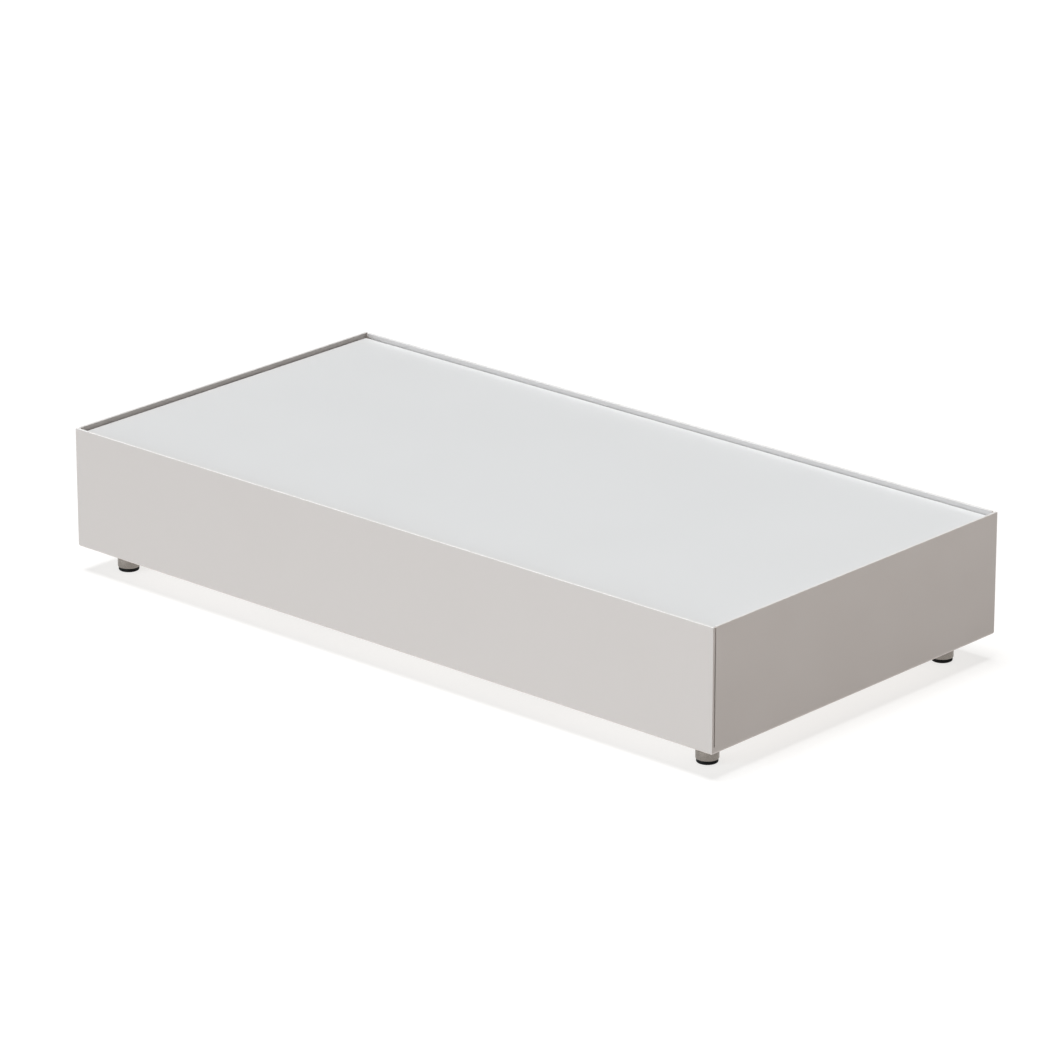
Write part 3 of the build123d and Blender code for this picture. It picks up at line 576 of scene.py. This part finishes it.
# %% The screw tree
def screw_tree():
    lengths = ("Crest", "Thread depth", "Pitch", "Length",
               "Hexagon", "Hexagon height", "Journal", "Journal length")
    tree, size = new_tree("foot_screw", lengths, ("Sides", "Rows"))
    grid, turn, climb = unit_grid(tree, maths(tree, "ADD", size["Sides"], 1), size["Rows"])
    height = maths(tree, "MULTIPLY", climb, size["Length"])
    turns_up = maths(tree, "DIVIDE", height, size["Pitch"])
    phase = maths(tree, "FRACT", maths(tree, "SUBTRACT", turns_up, turn))
    groove = maths(tree, "ABSOLUTE", maths(tree, "MULTIPLY_ADD", phase, 2, -1))
    radius = maths(tree, "SUBTRACT", size["Crest"], maths(tree, "MULTIPLY", groove, size["Thread depth"]))
    to_tip = maths(tree, "SUBTRACT", size["Length"], height)
    lead_in = maths(tree, "ADD", maths(tree, "SUBTRACT", size["Crest"], size["Thread depth"]), to_tip)
    radius = maths(tree, "MINIMUM", radius, lead_in)
    inside = maths(tree, "MULTIPLY", maths(tree, "GREATER_THAN", climb, 1e-5),
                   maths(tree, "LESS_THAN", climb, 1 - 1e-5))
    rolled = add(tree, "GeometryNodeSetPosition", {
        "Geometry": grid, "Position": around(tree, maths(tree, "MULTIPLY", radius, inside), turn, height)})
    closed = add(tree, "GeometryNodeMergeByDistance",
                 {"Geometry": rolled.outputs[0], "Distance": 1e-6}).outputs[0]
    hexagon = rod(tree, 6, size["Hexagon"], size["Hexagon height"])
    journal = rod(tree, size["Sides"], size["Journal"], size["Journal length"])
    half_hexagon = maths(tree, "MULTIPLY", size["Hexagon height"], 0.5)
    half_journal = maths(tree, "MULTIPLY", size["Journal length"], 0.5)
    hexagon_middle = maths(tree, "MULTIPLY", half_hexagon, -1)
    journal_middle = maths(tree, "SUBTRACT", hexagon_middle,
                           maths(tree, "ADD", half_journal, half_hexagon))
    hexagon_down, journal_down = [add(tree, "ShaderNodeCombineXYZ", {"Z": z}).outputs[0]
                                  for z in (hexagon_middle, journal_middle)]
    screw = join(tree, closed, put(tree, hexagon, hexagon_down), put(tree, journal, journal_down))
    finish_tree(tree, on_points(tree, size["Points"], screw), size["Finish"])
    return tree


# %% Grow the four screws
thread_pitch = 1.25 * mm
thread_sides = 28
rows_per_turn = 8
thread_crest = 3.94 * mm
thread_depth = 0.68 * mm
journal_radius = 3.5 * mm
hexagon_height = 4.0 * mm
journal_length = 4.0 * mm
foot_screw = screw_tree()
for foot in foot_places:
    low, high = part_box(f"foot_stud_{foot}")
    seat = low.z + journal_length + hexagon_height
    thread_length = high.z - seat
    piece = grow(f"foot_screw_{foot}", foot_screw,
                 [((low.x + high.x) / 2, (low.y + high.y) / 2, seat)], bright_zinc,
                 crest=thread_crest, thread_depth=thread_depth, pitch=thread_pitch, length=thread_length,
                 hexagon=(high.x - low.x) / 2, hexagon_height=hexagon_height,
                 journal=journal_radius, journal_length=journal_length, sides=thread_sides,
                 rows=round(thread_length / thread_pitch * rows_per_turn))
    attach(piece, f"screw_{foot}")
    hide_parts(f"foot_stud_{foot}")

# %% [markdown]
# ## Screw heads
#
# The gear plate and the ballast are held by pan-head screws with a cross recess. A polar grid
# gives the dome, and the rows inside a cross are pushed down. One tree makes a head and its
# shank, and puts a copy on every point that it is given.

# %% The pan-head tree and its two groups of screws
def pan_head_tree():
    lengths = ("Head radius", "Head height", "Recess width", "Recess length", "Recess depth",
               "Shank radius", "Shank length")
    tree, size = new_tree("pan_head", lengths, ("Sides", "Rings"))
    grid, turn, out = unit_grid(tree, maths(tree, "ADD", size["Sides"], 1), size["Rings"])
    radius = maths(tree, "MULTIPLY", out, size["Head radius"])
    flat = around(tree, radius, turn, 0.0)
    xy = add(tree, "ShaderNodeSeparateXYZ", {"Vector": flat}).outputs
    x, y = maths(tree, "ABSOLUTE", xy[0]), maths(tree, "ABSOLUTE", xy[1])
    arms = []
    for a, b in ((x, y), (y, x)):
        narrow = maths(tree, "LESS_THAN", a, maths(tree, "MULTIPLY", size["Recess width"], 0.5))
        short = maths(tree, "LESS_THAN", b, maths(tree, "MULTIPLY", size["Recess length"], 0.5))
        arms.append(maths(tree, "MULTIPLY", narrow, short))
    cross = maths(tree, "MAXIMUM", *arms)
    dome = maths(tree, "SQRT", maths(tree, "SUBTRACT", 1.0, maths(tree, "POWER", out, 4)))
    height = maths(tree, "SUBTRACT", maths(tree, "MULTIPLY", dome, size["Head height"]),
                   maths(tree, "MULTIPLY", cross, size["Recess depth"]))
    placed = add(tree, "GeometryNodeSetPosition",
                 {"Geometry": grid, "Position": around(tree, radius, turn, height)}).outputs[0]
    head = add(tree, "GeometryNodeMergeByDistance", {"Geometry": placed, "Distance": 1e-6}).outputs[0]
    shank = rod(tree, size["Sides"], size["Shank radius"], size["Shank length"])
    down = add(tree, "ShaderNodeCombineXYZ",
               {"Z": maths(tree, "MULTIPLY", size["Shank length"], -0.5)}).outputs[0]
    screw = join(tree, head, put(tree, shank, down))
    finish_tree(tree, on_points(tree, size["Points"], screw), size["Finish"])
    return tree


def centres(name, groups):
    """Middle of each separate solid of a node, when they stand apart in X or in Y."""
    points = [v.co for v in nodes[name].data.vertices]
    low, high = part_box(name)
    middle = (low + high) / 2
    found = []
    for sx, sy in groups:
        near = [p for p in points if (p.x - middle.x) * sx >= 0 and (p.y - middle.y) * sy >= 0]
        xs, ys = [p.x for p in near], [p.y for p in near]
        found.append(Vector(((min(xs) + max(xs)) / 2, (min(ys) + max(ys)) / 2, 0)))
    return found


pan_head = pan_head_tree()
corners = [(sx, sy) for sx in (-1, 1) for sy in (-1, 1)]
for name, groups in (("plate_screws", corners), ("ballast_screws", [(-1, 0), (1, 0)])):
    low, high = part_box(name)
    head_height = 2.2 * mm
    seat = high.z - head_height
    piece = grow(f"{name}_cross_head", pan_head, [(p.x, p.y, seat) for p in centres(name, groups)],
                 bright_zinc, head_radius=3.6 * mm, head_height=head_height, recess_width=0.9 * mm,
                 recess_length=3.6 * mm, recess_depth=1.1 * mm, shank_radius=1.9 * mm,
                 shank_length=seat - low.z, sides=40, rings=16)
    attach(piece, "box")
    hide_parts(name)

# %% [markdown]
# ## Spot-weld marks
#
# The two brackets inside are spot-welded to the base. Each weld leaves a shallow round dimple
# with a raised ring, which shows through the coat underneath. A thin ring on a line of points
# is enough, because it catches the light the way that the real mark does.

# %% Weld marks under the base
def weld_mark_tree():
    tree, size = new_tree("weld_marks", ("Radius", "Proud", "Ring"), ("Sides",))
    path = add(tree, "GeometryNodeCurvePrimitiveCircle",
               {"Resolution": size["Sides"], "Radius": size["Radius"]}).outputs["Curve"]
    section = add(tree, "GeometryNodeCurvePrimitiveCircle",
                  {"Resolution": 8, "Radius": size["Ring"]}).outputs["Curve"]
    ring = add(tree, "GeometryNodeCurveToMesh", {"Curve": path, "Profile Curve": section}).outputs[0]
    flat = add(tree, "GeometryNodeTransform",
               {"Geometry": ring, "Scale": flattened(tree, size["Proud"], size["Ring"])}).outputs[0]
    finish_tree(tree, on_points(tree, size["Points"], flat), size["Finish"])
    return tree


ring_marks = weld_mark_tree()
weld_points = []
weld_count = 7
weld_inset = 10 * mm
for side in ("left", "right"):
    low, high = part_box(f"plate_bracket_{side}")
    inner = high.x if side == "left" else low.x
    x = inner - weld_inset if side == "left" else inner + weld_inset
    for i in range(weld_count):
        y = low.y + (high.y - low.y) * (i + 0.5) / weld_count
        weld_points.append((x, y, casing_low.z))
weld_marks = grow("weld_marks", ring_marks, weld_points, powder_coat,
                  radius=2.6 * mm, proud=0.12 * mm, ring=0.5 * mm, sides=28)
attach(weld_marks, "box")

# %% [markdown]
# ## Crimps on the lamp caps
#
# A cap is fixed to its tube by a ring of punched dents. Small flattened beads stand for their
# raised rims. The tree puts them on a circle round X, at both ends of the lamp.

# %% Cap crimps
def crimp_tree():
    tree, size = new_tree("cap_crimps", ("Radius", "Bead", "Proud"), ("Count",))
    ring = add(tree, "GeometryNodeMeshCircle",
               {"Vertices": size["Count"], "Radius": size["Radius"]}).outputs[0]
    bead = add(tree, "GeometryNodeMeshUVSphere",
               {"Segments": 12, "Rings": 8, "Radius": size["Bead"]}).outputs[0]
    outwards = add(tree, "GeometryNodeInputPosition").outputs[0]
    facing = add(tree, "FunctionNodeAlignEulerToVector", {"Vector": outwards}, axis="Z").outputs[0]
    flat = flattened(tree, size["Proud"], size["Bead"])
    beads = add(tree, "GeometryNodeInstanceOnPoints", {
        "Points": ring, "Instance": bead, "Rotation": facing, "Scale": flat}).outputs[0]
    upright = put(tree, beads, turn=(0, pi / 2, 0))
    finish_tree(tree, on_points(tree, size["Points"], upright), size["Finish"])
    return tree


cap_crimps = crimp_tree()
crimp_inset = 13 * mm
for number in lamp_numbers:
    low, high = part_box(f"lamp_caps_{number}")
    y, z = (low.y + high.y) / 2, (low.z + high.z) / 2
    points = [(x, y, z) for x in (low.x + crimp_inset, high.x - crimp_inset)]
    piece = grow(f"cap_crimps_{number}", cap_crimps, points, cap_metal,
                 radius=(high.z - low.z) / 2, bead=0.9 * mm, proud=0.25 * mm, count=8)
    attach(piece, f"lamp_{number}")

# %% [markdown]
# ## Grip ribs on the fuse drawer
#
# The drawer's lip has a few ribs for a fingernail. Each is a small half-round bar, repeated
# along a line of points below the lip's edge.

# %% Grip ribs
def rib_tree():
    tree, size = new_tree("grip_ribs", ("Radius", "Width"), ("Sides",))
    bar = rod(tree, size["Sides"], size["Radius"], size["Width"])
    lying = put(tree, bar, turn=(0, pi / 2, 0))
    finish_tree(tree, on_points(tree, size["Points"], lying), size["Finish"])
    return tree


ribs = rib_tree()
low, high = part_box("fuse_drawer")
rib_count = 5
rib_step = 1.3 * mm
first_rib = high.z - 6 * mm
end_gap = 0.6 * mm
drawer_face = high.y - 1.2 * mm
rib_points = [((low.x + high.x) / 2, drawer_face, first_rib - rib_step * i) for i in range(rib_count)]
grip_ribs = grow("grip_ribs", ribs, rib_points, nylon,
                 radius=0.35 * mm, width=high.x - low.x - 2 * end_gap, sides=12)
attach(grip_ribs, "fuse_tray")

# %% [markdown]
# ## Marks on the rocker
#
# A power rocker carries a bar for on and a ring for off. They are raised and white. The ring
# comes from the tree of the weld marks, and the bar from the tree of the grip ribs. A ray from
# outside finds the sloping face under each mark, so that it lies flat on it.

# %% Bar and ring
mark_white = moulded("mark_white", (0.80, 0.80, 0.78), 0.45, 0.4)


def lay_on_rocker(piece, height):
    """Lays a piece made at the origin on the rocker's face, at a part of its height."""
    low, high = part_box("power_rocker")
    outside = Vector(((low.x + high.x) / 2, high.y + 10 * mm, low.z + (high.z - low.z) * height))
    _, point, normal, _ = nodes["power_rocker"].ray_cast(outside, Vector((0, -1, 0)))
    piece.data.transform(Matrix.Translation(point) @ normal.to_track_quat("Z", "Y").to_matrix().to_4x4())
    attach(piece, "rocker")


off_ring = grow("off_ring", ring_marks, [(0, 0, 0)], mark_white,
                radius=1.25 * mm, proud=0.10 * mm, ring=0.24 * mm, sides=36)
on_bar = grow("on_bar", ribs, [(0, 0, 0)], mark_white, radius=0.24 * mm, width=2.6 * mm, sides=12)
bar_flatness = 0.45
on_bar.data.transform(Matrix.Rotation(pi / 2, 4, "Z") @ Matrix.Diagonal((1, 1, bar_flatness, 1)))
ring_height, bar_height = 0.27, 0.73
lay_on_rocker(off_ring, ring_height)
lay_on_rocker(on_bar, bar_height)

# %% [markdown]
# ## Terminal screws
#
# Each wire goes into the ballast under a small clamping screw. They come from the screw-head
# tree again, at about half the size. They stand in rows over the wires' entries.

# %% Terminal screws
low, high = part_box("ballast_terminals")
row_step = 5 * mm
group_shift = 9 * mm
terminal_inset = 7 * mm
middle_row = (low.y + high.y) / 2
left_rows = [middle_row + k * row_step for k in (-1, 0, 1)]
right_rows = [y - group_shift for y in left_rows]
right_rows += [middle_row + group_shift + k * row_step / 2 for k in (-1, 1)]
terminal_points = [(low.x + terminal_inset, y, high.z) for y in left_rows]
terminal_points += [(high.x - terminal_inset, y, high.z) for y in right_rows]
terminal_screws = grow("terminal_screws", pan_head, terminal_points, bright_zinc,
                       head_radius=1.7 * mm, head_height=0.35 * mm, recess_width=0.5 * mm,
                       recess_length=2.4 * mm, recess_depth=0.3 * mm, shank_radius=1.0 * mm,
                       shank_length=2.0 * mm, sides=28, rings=12)
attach(terminal_screws, "box")
